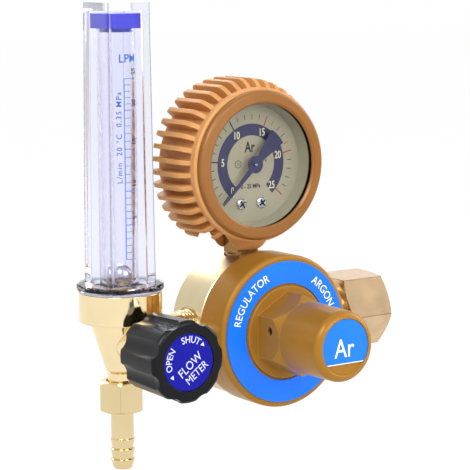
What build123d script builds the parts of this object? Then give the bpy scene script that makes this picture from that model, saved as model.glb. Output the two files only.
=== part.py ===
from build123d import *
import math
import os

# Argon flowmeter regulator, in millimetres.
# The origin is the centre of the inlet nut's mouth, +X points out of it along the inlet,
# the front of the gauge, knob and bonnet faces -Y, and +Z is up.

# Fits and clearances
thread_gap = 0.05    # radial, between a screwed spigot and its hole
running_gap = 0.06   # radial, between a turning piece and its bore
loose_gap = 0.2      # radial, between pieces that only lie inside each other

# Regulator body
body_r = 33.0
body_back = 12.8
body_front = -10.5
spigot_r = body_r - 3.4
spigot_end = -19.8
chamber_r = body_r - 9.0
chamber_floor = -12.0
valve_bore_r = 6.0
valve_bore_end = 5.0
port_face = body_r - 1.8      # flat seats of the side ports, from the body's axis
port_seat_r = 10.2
port_thread_length = 10.0
inlet_thread_r = 8.1
outlet_thread_r = 6.6
gauge_seat_z = body_r - 4.4
gauge_seat_r = 7.6
gauge_thread_r = 4.3
gauge_thread_length = 10.0

# Bonnet
bonnet_r = body_r + 1.0
bonnet_rear = -11.2
bonnet_face = -28.7
label_t = 0.8
hex_af = 31.6
hex_start = -30.4
hex_end = -46.0
cap_r = 15.4
cap_end = -72.1
spring_bore_r = 12.0
weep_r = 1.9
weep_y = -39.0
weep_z = 3.4

# Ring label and cap label
ring_outer_r = bonnet_r - 2.6
ring_inner_r = 21.6
cap_label_r = 12.0
cap_label_cut = -7.2

# Gauge
case_r = 30.4
case_wall = 1.2
case_front = -13.9
case_back = 15.0
skirt_r = case_r + 0.9
bezel_r = case_r + 2.6
bezel_front = -18.0
skirt_end = -10.0
lens_open_r = case_r - 3.1
dial_face = -7.8
boot_wall = 1.9
boot_r = case_r + 3.8
boot_front = -14.8
boot_back = 18.4
fin_count = 40
fin_r = case_r + 7.5
fin_t = 2.0
fin_start = -11.4

# Flowmeter
cup_r = 18.1
cup_bore_r = cup_r - 3.0
cup_top = 21.4
cup_bottom = 8.2
cover_top = 144.9
cover_half_top = 10.45
cover_half_bottom = 11.35
flange_r = 18.9
flange_top = 24.9
flange_bottom = 22.3
tube_r = 7.7
tube_bottom = 14.2
tube_top = 134.0
ball_r = 4.8
ball_z = 28.4
arm_end = 21.5
arm_r = 8.7
boss_front = -15.5
knob_front = -53.3
knob_rear = -26.0
knob_r = 17.4
knob_label_r = 12.0
flute_count = 8

# Outlet
nut_af = 18.0
nut_turn = 55.0      # turns a corner of the outlet nut to the front left
nut_top = -18.0
nut_bottom = -31.4
barb_end = -57.2

# Inlet
inlet_af = 32.0
inlet_nut_length = 24.5
nut_wall = 5.0
inlet_minor_r = 10.3
inlet_thread_length = 12.0
relief_r = 11.4

# Main places
inlet_reach = 39.3   # from the nut's mouth to the body's seat
nipple_reach = 14.3  # from the body's other seat to the flowmeter's arm
gauge_lift = 13.7    # from the gauge port's seat to the underside of the case
reg_x = -inlet_reach - port_face                       # axis of the round body, parallel to Y
meter_x = reg_x - port_face - nipple_reach - arm_end   # vertical axis of the flowmeter
gauge_x = reg_x - 3.5                                  # vertical axis of the gauge stem
gauge_z = gauge_seat_z + gauge_lift + case_r           # height of the gauge's axis, parallel to Y
knob_z = -1.2                                          # height of the flow knob's axis

# Sketch planes whose first axis is a radius, and the axes to revolve about
reg_plane = Plane(origin=(reg_x, 0, 0), x_dir=(1, 0, 0), z_dir=(0, 0, 1))
reg_axis = Axis((reg_x, 0, 0), (0, 1, 0))
gauge_plane = Plane(origin=(gauge_x, 0, gauge_z), x_dir=(1, 0, 0), z_dir=(0, 0, 1))
gauge_axis = Axis((gauge_x, 0, gauge_z), (0, 1, 0))
knob_plane = Plane(origin=(meter_x, 0, knob_z), x_dir=(1, 0, 0), z_dir=(0, 0, 1))
knob_axis = Axis((meter_x, 0, knob_z), (0, 1, 0))
meter_plane = Plane(origin=(meter_x, 0, 0), x_dir=(1, 0, 0), z_dir=(0, -1, 0))
meter_axis = Axis((meter_x, 0, 0), (0, 0, 1))
stem_plane = Plane(origin=(gauge_x, 0, 0), x_dir=(1, 0, 0), z_dir=(0, -1, 0))
stem_axis = Axis((gauge_x, 0, 0), (0, 0, 1))


def front_plane(x, y, z):
    """A plane that faces the front, -Y, with +X to the right and +Z up."""
    return Plane(origin=(x, y, z), x_dir=(1, 0, 0), z_dir=(0, -1, 0))


def turned_plane(x, y, z, angle):
    """A plane that faces the front, with its first axis turned up from +X by an angle."""
    tilt = math.radians(angle)
    return Plane(origin=(x, y, z), x_dir=(math.cos(tilt), 0, math.sin(tilt)), z_dir=(0, -1, 0))


def level_plane(x, z):
    """A level plane at a height, centred above (x, 0)."""
    return Plane(origin=(x, 0, z), x_dir=(1, 0, 0), z_dir=(0, 0, 1))


def side_plane(x, z=0.0):
    """A plane that faces +X at x."""
    return Plane(origin=(x, 0, z), x_dir=(0, 1, 0), z_dir=(1, 0, 0))


# Regulator body: a round brass disc with a threaded spigot, the low pressure chamber, the
# valve bore behind it, and the inlet, outlet and gauge ports
gas_way_r = 2.2
gas_way_x = 16.5     # from the body's axis to the way from the chamber to the outlet
with BuildPart() as regulator_body:
    with BuildSketch(reg_plane):
        with BuildLine():
            Polyline(
                (0, body_back), (body_r - 1.2, body_back), (body_r, body_back - 1.2),
                (body_r, body_front + 0.7), (body_r - 0.7, body_front), (spigot_r, body_front),
                (spigot_r, spigot_end), (chamber_r, spigot_end), (chamber_r, chamber_floor),
                (valve_bore_r, chamber_floor), (valve_bore_r, valve_bore_end), (0, valve_bore_end),
                close=True)
        make_face()
    revolve(axis=reg_axis)
    with BuildSketch(level_plane(gauge_x, gauge_seat_z)):
        Circle(gauge_seat_r)
    extrude(amount=10, mode=Mode.SUBTRACT)
    with BuildSketch(level_plane(gauge_x, gauge_seat_z)):
        Circle(gauge_thread_r)
    extrude(amount=-gauge_thread_length - 1, mode=Mode.SUBTRACT)
    with BuildSketch(level_plane(gauge_x, gauge_seat_z)):
        Circle(1.2)
    extrude(amount=-gauge_seat_z, mode=Mode.SUBTRACT)
    with BuildSketch(side_plane(reg_x + port_face)):
        Circle(port_seat_r)
    extrude(amount=5, mode=Mode.SUBTRACT)
    with BuildSketch(side_plane(reg_x + port_face)):
        Circle(inlet_thread_r)
    extrude(amount=-port_thread_length - 1, mode=Mode.SUBTRACT)
    with BuildSketch(side_plane(reg_x + port_face)):
        Circle(2.5)
    extrude(amount=-(port_face - 2), mode=Mode.SUBTRACT)
    with BuildSketch(side_plane(reg_x - port_face)):
        Circle(port_seat_r)
    extrude(amount=-5, mode=Mode.SUBTRACT)
    with BuildSketch(side_plane(reg_x - port_face)):
        Circle(outlet_thread_r)
    extrude(amount=port_thread_length + 1, mode=Mode.SUBTRACT)
    with BuildSketch(side_plane(reg_x - port_face)):
        Circle(gas_way_r)
    extrude(amount=port_face - gas_way_x + 1, mode=Mode.SUBTRACT)
    with BuildSketch(front_plane(reg_x - gas_way_x, 0, 0)):
        Circle(gas_way_r)
    extrude(amount=chamber_r, mode=Mode.SUBTRACT)
regulator_body.part.label = "regulator_body"

# Bonnet: the painted flange, its hexagon with chamfered corners and the round cap in one piece,
# bored for the spring and threaded inside for the body's spigot
with BuildPart() as bonnet:
    with BuildSketch(front_plane(reg_x, hex_start + 2, 0)):
        RegularPolygon(hex_af / 2, 6, major_radius=False, rotation=30)
    extrude(amount=hex_start + 2 - hex_end)
    corner_r = hex_af / math.sqrt(3)
    with BuildSketch(reg_plane):
        with BuildLine():
            Polyline(
                (hex_af / 2 - 0.1, hex_end - 1), (hex_af / 2 - 0.1, hex_end), (corner_r + 0.2, hex_end + 5.2),
                (corner_r + 2, hex_end + 5.2), (corner_r + 2, hex_end - 1), close=True)
        make_face()
    revolve(axis=reg_axis, mode=Mode.SUBTRACT)
    with BuildSketch(reg_plane):
        with BuildLine():
            Polyline(
                (0, bonnet_rear), (bonnet_r - 0.8, bonnet_rear), (bonnet_r, bonnet_rear - 0.8),
                (bonnet_r, bonnet_face + 1.6))
            RadiusArc((bonnet_r, bonnet_face + 1.6), (bonnet_r - 1.6, bonnet_face), 1.6)
            Polyline(
                (bonnet_r - 1.6, bonnet_face), (ring_inner_r - 0.6, bonnet_face),
                (20.4, hex_start), (hex_af / 2 - 1, hex_start), (hex_af / 2, hex_end + 4),
                (cap_r, cap_end + 3.6))
            RadiusArc((cap_r, cap_end + 3.6), (cap_r - 2.6, cap_end), 3.4)
            Polyline((cap_r - 2.6, cap_end), (0, cap_end), (0, bonnet_rear))
        make_face()
    revolve(axis=reg_axis)
    with BuildSketch(reg_plane):
        with BuildLine():
            Polyline(
                (0, bonnet_rear + 1), (spigot_r + thread_gap, bonnet_rear + 1),
                (spigot_r + thread_gap, spigot_end - 1.1), (chamber_r - 0.5, spigot_end - 1.1),
                (chamber_r - 0.5, -25.6),
                (spring_bore_r, -28.6), (spring_bore_r, -64), (4.1, -66), (4.1, cap_end + 0.8),
                (cap_label_r + 0.3, cap_end + 0.8), (cap_label_r + 0.3, cap_end - 1), (0, cap_end - 1),
                close=True)
        make_face()
    revolve(axis=reg_axis, mode=Mode.SUBTRACT)
    with BuildSketch(Plane(origin=(reg_x - 20, weep_y, weep_z), x_dir=(0, 1, 0), z_dir=(1, 0, 0))):
        Circle(weep_r)
    extrude(amount=14, mode=Mode.SUBTRACT)
bonnet.part.label = "bonnet"

# Ring label: a flat printed ring on the bonnet's face
with BuildPart() as ring_label:
    with BuildSketch(front_plane(reg_x, bonnet_face, 0)):
        Circle(ring_outer_r)
        Circle(ring_inner_r, mode=Mode.SUBTRACT)
    extrude(amount=label_t)
ring_label.part.label = "ring_label"

# Cap label: a disc cut straight at the bottom, in the recess of the cap's end
with BuildPart() as cap_label:
    with BuildSketch(front_plane(reg_x, cap_end + 0.8, 0)):
        Circle(cap_label_r)
        with Locations((0, cap_label_cut - cap_label_r)):
            Rectangle(3 * cap_label_r, 2 * cap_label_r, mode=Mode.SUBTRACT)
    extrude(amount=0.5)
cap_label.part.label = "cap_label"

# Adjusting screw: set at the works, with a hexagon socket under the cap label
screw_end = -52.5
with BuildPart() as adjusting_screw:
    with BuildSketch(reg_plane):
        with BuildLine():
            Polyline(
                (0, cap_end + 1.2), (3.6, cap_end + 1.2), (4.05, cap_end + 1.7), (4.05, screw_end - 2),
                (0.8, screw_end), (0, screw_end), close=True)
        make_face()
    revolve(axis=reg_axis)
    with BuildSketch(front_plane(reg_x, cap_end + 1.2, 0)):
        RegularPolygon(2.0, 6, major_radius=False)
    extrude(amount=-4, mode=Mode.SUBTRACT)
adjusting_screw.part.label = "adjusting_screw"

# Upper spring seat: a dished disc that the screw's point bears on
with BuildPart() as spring_seat:
    with BuildSketch(reg_plane):
        with BuildLine():
            Polyline(
                (0, screw_end), (1.0, screw_end), (4.0, screw_end - 1.5), (11.6, screw_end - 1.5),
                (11.6, screw_end + 1.5), (6.6, screw_end + 1.5), (6.0, screw_end + 3.5),
                (0, screw_end + 3.5), close=True)
        make_face()
    revolve(axis=reg_axis)
spring_seat.part.label = "spring_seat"

# Main spring: a coil of round wire between the seat and the diaphragm plate
plate_front = -23.1
wire_r = 1.3
spring_back = plate_front - wire_r
spring_front = screw_end + 1.5 + wire_r
with BuildPart() as main_spring:
    with BuildLine() as coil:
        Helix(
            pitch=(spring_back - spring_front) / 5, height=spring_back - spring_front, radius=8.4,
            center=(reg_x, spring_front, 0), direction=(0, 1, 0))
    with BuildSketch(Plane(origin=coil.line @ 0, z_dir=coil.line % 0)):
        Circle(wire_r)
    sweep(is_frenet=True)
main_spring.part.label = "main_spring"

# Diaphragm: a rubber disc clamped at its rim, with a hole for the plate's stem
diaphragm_back = spigot_end
diaphragm_t = 0.8
with BuildPart() as diaphragm:
    with BuildSketch(front_plane(reg_x, diaphragm_back, 0)):
        Circle(spigot_r - 0.3)
        Circle(2.3, mode=Mode.SUBTRACT)
    extrude(amount=diaphragm_t)
diaphragm.part.label = "diaphragm"

# Slip ring: keeps the bonnet from dragging the diaphragm as it is screwed down
with BuildPart() as slip_ring:
    with BuildSketch(front_plane(reg_x, diaphragm_back - diaphragm_t, 0)):
        Circle(spigot_r - 0.3)
        Circle(chamber_r, mode=Mode.SUBTRACT)
    extrude(amount=0.3)
slip_ring.part.label = "slip_ring"

# Diaphragm plate: it carries the spring and its stem goes through the diaphragm
plate_back = diaphragm_back - diaphragm_t - 0.1
with BuildPart() as diaphragm_plate:
    with BuildSketch(reg_plane):
        with BuildLine():
            Polyline(
                (0, -18.4), (2.0, -18.4), (2.0, plate_back), (18.5, plate_back), (18.5, plate_back - 0.8),
                (11.5, plate_front), (6.2, plate_front), (5.6, plate_front - 2.4), (0, plate_front - 2.4),
                close=True)
        make_face()
    revolve(axis=reg_axis)
diaphragm_plate.part.label = "diaphragm_plate"

# Plate nut: holds the diaphragm against the plate from the chamber side
with BuildPart() as plate_nut:
    with BuildSketch(front_plane(reg_x, -17.4, 0)):
        RegularPolygon(4.5, 6, major_radius=False)
        Circle(2.0 + thread_gap, mode=Mode.SUBTRACT)
    extrude(amount=2.3)
    with BuildSketch(front_plane(reg_x, -17.4, 0)):
        Circle(3.5)
    extrude(amount=0.9)
plate_nut.part.label = "plate_nut"

# Valve seat: a nozzle screwed into the valve bore, with a hexagon in the chamber
seat_edge = -7.0
with BuildPart() as valve_seat:
    with BuildSketch(reg_plane):
        with BuildLine():
            Polyline(
                (1.5, -14.6), (7.2, -14.6), (7.2, chamber_floor), (valve_bore_r - thread_gap, chamber_floor),
                (valve_bore_r - thread_gap, -3.5), (4.3, -3.5), (4.3, seat_edge), (2.1, seat_edge),
                (1.5, seat_edge - 0.6), close=True)
        make_face()
    revolve(axis=reg_axis)
valve_seat.part.label = "valve_seat"

# Valve pin: the poppet under the seat, with the pin that the diaphragm pushes
pin_travel = 0.7
poppet_front = seat_edge + pin_travel + 0.05
with BuildPart() as valve_pin:
    with BuildSketch(reg_plane):
        with BuildLine():
            Polyline(
                (0, -17.4), (0.9, -17.4), (0.9, poppet_front), (3.2, poppet_front),
                (3.2, poppet_front + 4), (1.2, poppet_front + 4), (1.2, poppet_front + 6),
                (0, poppet_front + 6), close=True)
        make_face()
    revolve(axis=reg_axis)
valve_pin.part.label = "valve_pin"

# Valve spring: presses the poppet towards its seat
poppet_shoulder = poppet_front + 4
valve_wire_r = 0.35
with BuildPart() as valve_spring:
    with BuildLine() as valve_coil:
        Helix(
            pitch=(valve_bore_end - poppet_shoulder - 2 * valve_wire_r) / 4,
            height=valve_bore_end - poppet_shoulder - 2 * valve_wire_r, radius=2.2,
            center=(reg_x, poppet_shoulder + valve_wire_r, 0), direction=(0, 1, 0))
    with BuildSketch(Plane(origin=valve_coil.line @ 0, z_dir=valve_coil.line % 0)):
        Circle(valve_wire_r)
    sweep(is_frenet=True)
valve_spring.part.label = "valve_spring"

# Inlet stem: threaded into the body, with a collar, a neck for the nut, a flange and a nose
stem_seat = reg_x + port_face
nut_rear = -inlet_nut_length
flange_rear = nut_rear + nut_wall + 0.2
flange_front = flange_rear + 4
gasket_t = 2.0
nose_end = flange_front + gasket_t + 0.9
collar_r = 9.9
neck_r = 7.6
stem_flange_r = 10.0
nose_r = 6.4
filter_bore_r = 3.6
filter_length = 9.0
with BuildPart() as inlet_stem:
    with BuildSketch(Plane.XY):
        with BuildLine():
            Polyline(
                (stem_seat - port_thread_length, 2.4), (stem_seat - port_thread_length, inlet_thread_r - 0.8),
                (stem_seat - port_thread_length + 0.8, inlet_thread_r - thread_gap),
                (stem_seat, inlet_thread_r - thread_gap),
                (stem_seat, collar_r), (nut_rear - 6.4, collar_r), (nut_rear - 5.6, collar_r - 0.8),
                (nut_rear - 5.6, neck_r), (flange_rear, neck_r), (flange_rear, stem_flange_r),
                (flange_front, stem_flange_r), (flange_front, nose_r), (nose_end - 0.6, nose_r),
                (nose_end, nose_r - 0.6), (nose_end, filter_bore_r),
                (nose_end - filter_length, filter_bore_r), (nose_end - filter_length, 2.4), close=True)
        make_face()
    revolve(axis=Axis.X)
inlet_stem.part.label = "inlet_stem"

# Inlet filter: a plug of sintered bronze in the stem's nose
with BuildPart() as inlet_filter:
    with BuildSketch(Plane.XY):
        with BuildLine():
            Polyline(
                (nose_end - filter_length, 0), (nose_end - filter_length, filter_bore_r - thread_gap),
                (nose_end - 1.2, filter_bore_r - thread_gap), (nose_end - 0.5, 2.8), (nose_end - 0.5, 0),
                close=True)
        make_face()
    revolve(axis=Axis.X)
inlet_filter.part.label = "inlet_filter"

# Inlet gasket: a flat ring on the stem's flange
with BuildPart() as inlet_gasket:
    with BuildSketch(side_plane(flange_front)):
        Circle(stem_flange_r - loose_gap)
        Circle(nose_r + thread_gap, mode=Mode.SUBTRACT)
    extrude(amount=gasket_t)
inlet_gasket.part.label = "inlet_gasket"

# Inlet nut: a hexagon union nut, chamfered at both ends, free to turn on the stem
nut_corner = inlet_af / math.sqrt(3)
nut_bevel = 1.4
with BuildPart() as inlet_nut:
    with BuildSketch(side_plane(nut_rear)):
        RegularPolygon(inlet_af / 2, 6, major_radius=False, rotation=4)
    extrude(amount=inlet_nut_length)
    for end, inward in ((nut_rear, 1), (0, -1)):
        with BuildSketch(Plane.XY):
            with BuildLine():
                Polyline(
                    (end - inward, inlet_af / 2 - 0.3), (end, inlet_af / 2 - 0.3),
                    (end + inward * nut_bevel, nut_corner + 0.1),
                    (end + inward * nut_bevel, nut_corner + 2),
                    (end - inward, nut_corner + 2), close=True)
            make_face()
        revolve(axis=Axis.X, mode=Mode.SUBTRACT)
    with BuildSketch(Plane.XY):
        with BuildLine():
            Polyline(
                (nut_rear - 1, 0), (nut_rear - 1, neck_r + running_gap),
                (nut_rear + nut_wall, neck_r + running_gap), (nut_rear + nut_wall, relief_r),
                (-inlet_thread_length - 0.6, relief_r),
                (-inlet_thread_length, inlet_minor_r), (1, inlet_minor_r), (1, 0), close=True)
        make_face()
    revolve(axis=Axis.X, mode=Mode.SUBTRACT)
inlet_nut.part.label = "inlet_nut"

# Connection nipple: joins the regulator's outlet to the flowmeter, with thread turns by the body
nipple_right = reg_x - port_face
nipple_left = meter_x + arm_end
ridge_count = 4
ridge_pitch = 1.5
nipple_r = 8.4
arm_thread_r = 6.4
with BuildPart() as connection_nipple:
    with BuildSketch(Plane.XY):
        with BuildLine():
            Polyline(
                (nipple_left - 7.5, gas_way_r), (nipple_left - 7.5, 5.8),
                (nipple_left - 6.8, arm_thread_r - thread_gap), (nipple_left, arm_thread_r - thread_gap),
                (nipple_left, nipple_r), (nipple_right, nipple_r),
                (nipple_right, outlet_thread_r - thread_gap),
                (nipple_right + port_thread_length - 0.7, outlet_thread_r - thread_gap),
                (nipple_right + port_thread_length, 5.8), (nipple_right + port_thread_length, gas_way_r),
                close=True)
        make_face()
    revolve(axis=Axis.X)
    for ridge in range(ridge_count):
        crest = nipple_right - 1.0 - ridge * ridge_pitch
        with BuildSketch(Plane.XY):
            with BuildLine():
                Polyline(
                    (crest - 0.7, nipple_r - 0.2), (crest - 0.15, nipple_r + 0.7),
                    (crest + 0.15, nipple_r + 0.7), (crest + 0.7, nipple_r - 0.2), close=True)
            make_face()
        revolve(axis=Axis.X)
connection_nipple.part.label = "connection_nipple"

# Flowmeter body: the polished cup and cone with the side arm, the front boss and the gas ways
socket_r = 9.3
socket_top = 18.6
with BuildPart() as flowmeter_body:
    with BuildSketch(meter_plane):
        with BuildLine():
            Polyline(
                (0, nut_bottom + 3.9), (6.2, nut_bottom + 3.9), (6.8, nut_bottom + 4.5), (6.8, nut_top - 1.5),
                (6.1, nut_top - 0.8), (6.1, -14.4), (6.9, -13.2), (13.4, cup_bottom),
                (cup_r - 0.5, cup_bottom), (cup_r, cup_bottom + 0.5), (cup_r, cup_top - 0.3),
                (cup_r - 0.3, cup_top), (cup_bore_r, cup_top), (cup_bore_r, 14.0), (socket_r, 14.0),
                (socket_r, socket_top),
                (tube_r + loose_gap, socket_top), (tube_r + loose_gap, tube_bottom), (6.9, tube_bottom),
                (6.9, 12.4),
                (0, 12.4), close=True)
        make_face()
    revolve(axis=meter_axis)
    with BuildSketch(side_plane(meter_x + arm_end)):
        Circle(arm_r)
    extrude(amount=-(arm_end - 4.5))
    with BuildSketch(front_plane(meter_x, boss_front, knob_z)):
        Circle(7.0)
    extrude(amount=boss_front + 4.5)
    with BuildSketch(side_plane(meter_x + arm_end)):
        Circle(arm_thread_r)
    extrude(amount=-8.5, mode=Mode.SUBTRACT)
    with BuildSketch(side_plane(meter_x + arm_end)):
        Circle(2.0)
    extrude(amount=-(arm_end - 4), mode=Mode.SUBTRACT)
    with BuildSketch(level_plane(meter_x + 5, 0)):
        Circle(1.5)
    extrude(amount=13, mode=Mode.SUBTRACT)
    with BuildSketch(level_plane(meter_x, 0)):
        Circle(2.2)
    extrude(amount=nut_bottom, mode=Mode.SUBTRACT)
    with BuildSketch(knob_plane):
        with BuildLine():
            Polyline(
                (0, boss_front - 1), (5.2, boss_front - 1), (5.2, -12.2), (3.6, -12.2), (3.6, -4.2),
                (1.2, -4.0), (1.2, 0), (0, 0), close=True)
        make_face()
    revolve(axis=knob_axis, mode=Mode.SUBTRACT)
    with BuildSketch(Plane(origin=(meter_x, -10.8, 0), x_dir=(1, 0, 0), z_dir=(0, 0, 1))):
        Circle(1.2)
    extrude(amount=16, mode=Mode.SUBTRACT)
flowmeter_body.part.label = "flowmeter_body"

# Flow cover: clear square column with a round flange and spigot, hollow, closed at the top
cavity_half_bottom = 8.9
cavity_half_top = 8.1
cavity_top = 141.4
with BuildPart() as flow_cover:
    with BuildSketch(level_plane(meter_x, flange_top - 0.5)):
        RectangleRounded(2 * cover_half_bottom, 2 * cover_half_bottom, 0.9)
    with BuildSketch(level_plane(meter_x, cover_top)):
        RectangleRounded(2 * cover_half_top, 2 * cover_half_top, 0.9)
    loft()
    with BuildSketch(meter_plane):
        with BuildLine():
            Polyline(
                (0, 17.0), (cup_bore_r - 0.6, 17.0), (cup_bore_r - 0.2, 17.4),
                (cup_bore_r - 0.2, flange_bottom), (flange_r - 0.4, flange_bottom),
                (flange_r, flange_bottom + 0.4), (flange_r, flange_top - 0.6), (flange_r - 0.6, flange_top),
                (0, flange_top), close=True)
        make_face()
    revolve(axis=meter_axis)
    with BuildSketch(level_plane(meter_x, 16.0)):
        RectangleRounded(2 * cavity_half_bottom, 2 * cavity_half_bottom, 2.0)
    with BuildSketch(level_plane(meter_x, cavity_top)):
        RectangleRounded(2 * cavity_half_top, 2 * cavity_half_top, 2.0)
    loft(mode=Mode.SUBTRACT)
    with BuildSketch(level_plane(meter_x, 16.0)):
        Circle(socket_r + 0.5)
    extrude(amount=5, mode=Mode.SUBTRACT)
flow_cover.part.label = "flow_cover"

# Cover gasket: the black ring between the cover's flange and the cup
with BuildPart() as cover_gasket:
    with BuildSketch(meter_plane):
        with BuildLine():
            Polyline(
                (cup_bore_r + 0.1, cup_top), (cup_r - 0.1, cup_top), (cup_r + 0.2, cup_top + 0.45),
                (cup_r - 0.1, flange_bottom), (cup_bore_r + 0.1, flange_bottom), close=True)
        make_face()
    revolve(axis=meter_axis)
cover_gasket.part.label = "cover_gasket"

# Flow tube: clear, its bore widens upwards from the ball's seat
bore_low = 4.98
bore_high = 6.4
with BuildPart() as flow_tube:
    with BuildSketch(meter_plane):
        with BuildLine():
            Polyline(
                (3.2, tube_bottom), (tube_r, tube_bottom), (tube_r, tube_top), (bore_high, tube_top),
                (bore_low, 27.0), (3.2, 24.5), close=True)
        make_face()
    revolve(axis=meter_axis)
flow_tube.part.label = "flow_tube"

# Tube ring: seals the tube in the body's socket
with BuildPart() as tube_ring:
    with BuildSketch(meter_plane):
        with Locations((tube_r + 0.8, socket_top + 0.8)):
            Circle(0.75)
    revolve(axis=meter_axis)
tube_ring.part.label = "tube_ring"

# Tube plug: a square blue stopper with a round step in the tube's top, vented to the back
with BuildPart() as tube_plug:
    with BuildSketch(level_plane(meter_x, tube_top)):
        RectangleRounded(15.6, 15.6, 1.6)
    extrude(amount=6.2)
    with BuildSketch(level_plane(meter_x, tube_top)):
        Circle(bore_high - 0.1)
    extrude(amount=-1.6)
    with BuildSketch(level_plane(meter_x, tube_top - 1.6)):
        Circle(1.8)
    extrude(amount=4.5, mode=Mode.SUBTRACT)
    with BuildSketch(front_plane(meter_x, 0, tube_top + 1.8)):
        Circle(1.1)
    extrude(amount=-9, mode=Mode.SUBTRACT)
tube_plug.part.label = "tube_plug"

# Flow ball: the float
with BuildPart() as flow_ball:
    with Locations((meter_x, 0, ball_z)):
        Sphere(ball_r)
flow_ball.part.label = "flow_ball"

# Needle gland: a hexagon gland screwed into the boss
gland_af = 14.0
needle_r = 3.0
with BuildPart() as needle_gland:
    with BuildSketch(front_plane(meter_x, boss_front, knob_z)):
        RegularPolygon(gland_af / 2, 6, major_radius=False, rotation=30)
    extrude(amount=5.5)
    with BuildSketch(front_plane(meter_x, boss_front, knob_z)):
        Circle(5.2 - thread_gap)
    extrude(amount=-3.3)
    with BuildSketch(knob_plane):
        with BuildLine():
            Polyline(
                (0, boss_front - 6), (needle_r + running_gap, boss_front - 6),
                (needle_r + running_gap, -14.2), (4.6, -14.2), (4.6, -12), (0, -12), close=True)
        make_face()
    revolve(axis=knob_axis, mode=Mode.SUBTRACT)
needle_gland.part.label = "needle_gland"

# Gland packing: the soft ring round the needle's stem
with BuildPart() as gland_packing:
    with BuildSketch(front_plane(meter_x, -12.3, knob_z)):
        Circle(4.55)
        Circle(3.3, mode=Mode.SUBTRACT)
    extrude(amount=1.8)
gland_packing.part.label = "gland_packing"

# Needle: the cone that closes the seat, its stem and the end that the knob sits on
hub_rear = -30.0
shaft_end = -48.0
spindle_r = 2.6
screw_hole_r = 1.6
with BuildPart() as needle:
    with BuildSketch(knob_plane):
        with BuildLine():
            Polyline(
                (0, -2.6), (0.45, -2.6), (2.3, -6.4), (2.3, -10.6), (needle_r, -11.3),
                (needle_r, hub_rear + 0.2), (spindle_r, hub_rear + 0.2), (spindle_r, shaft_end),
                (screw_hole_r, shaft_end), (screw_hole_r, shaft_end + 7), (0, shaft_end + 7), close=True)
        make_face()
    revolve(axis=knob_axis)
needle.part.label = "needle"

# Knob: a hollow cap with eight round-cornered lobes, deeper finger flutes behind its face, rounded
# rims and a hub on the needle
flute_r = 5.6
flute_depth = 2.6
lobe_depth = 1.5
knob_lip = 3.0
with BuildPart() as knob:
    with BuildSketch(front_plane(meter_x, knob_rear, knob_z)) as knob_outline:
        Circle(knob_r)
        with PolarLocations(knob_r + flute_r - lobe_depth, flute_count, start_angle=180 / flute_count):
            Circle(flute_r, mode=Mode.SUBTRACT)
        fillet(knob_outline.vertices(), 1.2)
    extrude(amount=knob_rear - knob_front)
    with BuildSketch(front_plane(meter_x, knob_rear, knob_z)):
        with PolarLocations(knob_r + flute_r - flute_depth, flute_count, start_angle=180 / flute_count):
            Circle(flute_r)
    extrude(amount=knob_rear - knob_front - knob_lip, mode=Mode.SUBTRACT)
    with BuildSketch(knob_plane):
        with BuildLine():
            Polyline((0, knob_rear), (knob_r - 1.2, knob_rear), (knob_r - 0.7, knob_rear - 0.6))
            Line((knob_r - 0.7, knob_rear - 0.6), (knob_r, knob_front + 1.8))
            RadiusArc((knob_r, knob_front + 1.8), (knob_r - 1.8, knob_front), 1.8)
            Polyline((knob_r - 1.8, knob_front), (0, knob_front), (0, knob_rear))
        make_face()
    revolve(axis=knob_axis, mode=Mode.INTERSECT)
    with BuildSketch(front_plane(meter_x, knob_rear + 1, knob_z)):
        Circle(11.6)
        Circle(6.0, mode=Mode.SUBTRACT)
    extrude(amount=22, mode=Mode.SUBTRACT)
    with BuildSketch(front_plane(meter_x, knob_rear + 1, knob_z)):
        Circle(6.5)
    extrude(amount=knob_rear + 1 - hub_rear, mode=Mode.SUBTRACT)
    with BuildSketch(knob_plane):
        with BuildLine():
            Polyline(
                (0, hub_rear + 1), (spindle_r + thread_gap, hub_rear + 1),
                (spindle_r + thread_gap, shaft_end - 0.3), (screw_hole_r, shaft_end - 0.3),
                (screw_hole_r, shaft_end - 1.5), (3.2, shaft_end - 1.5), (3.2, knob_front + 0.7),
                (knob_label_r + loose_gap, knob_front + 0.7), (knob_label_r + loose_gap, knob_front - 1),
                (0, knob_front - 1), close=True)
        make_face()
    revolve(axis=knob_axis, mode=Mode.SUBTRACT)
knob.part.label = "knob"

# Knob label: a printed disc in the knob's face
with BuildPart() as knob_label:
    with BuildSketch(front_plane(meter_x, knob_front + 0.7, knob_z)):
        Circle(knob_label_r)
    extrude(amount=0.4)
knob_label.part.label = "knob_label"

# Knob screw: under the label, it holds the knob on the needle
with BuildPart() as knob_screw:
    with BuildSketch(knob_plane):
        with BuildLine():
            Polyline(
                (0, shaft_end + 6), (1.4, shaft_end + 6), (1.4, shaft_end - 1.5), (2.7, shaft_end - 1.5),
                (2.7, shaft_end - 3.2), (2.2, shaft_end - 3.8), (0, shaft_end - 3.8), close=True)
        make_face()
    revolve(axis=knob_axis)
    with BuildSketch(front_plane(meter_x, shaft_end - 3.8, knob_z)):
        Rectangle(3.6, 0.7)
        Rectangle(0.7, 3.6)
    extrude(amount=-1.2, mode=Mode.SUBTRACT)
knob_screw.part.label = "knob_screw"

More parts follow.
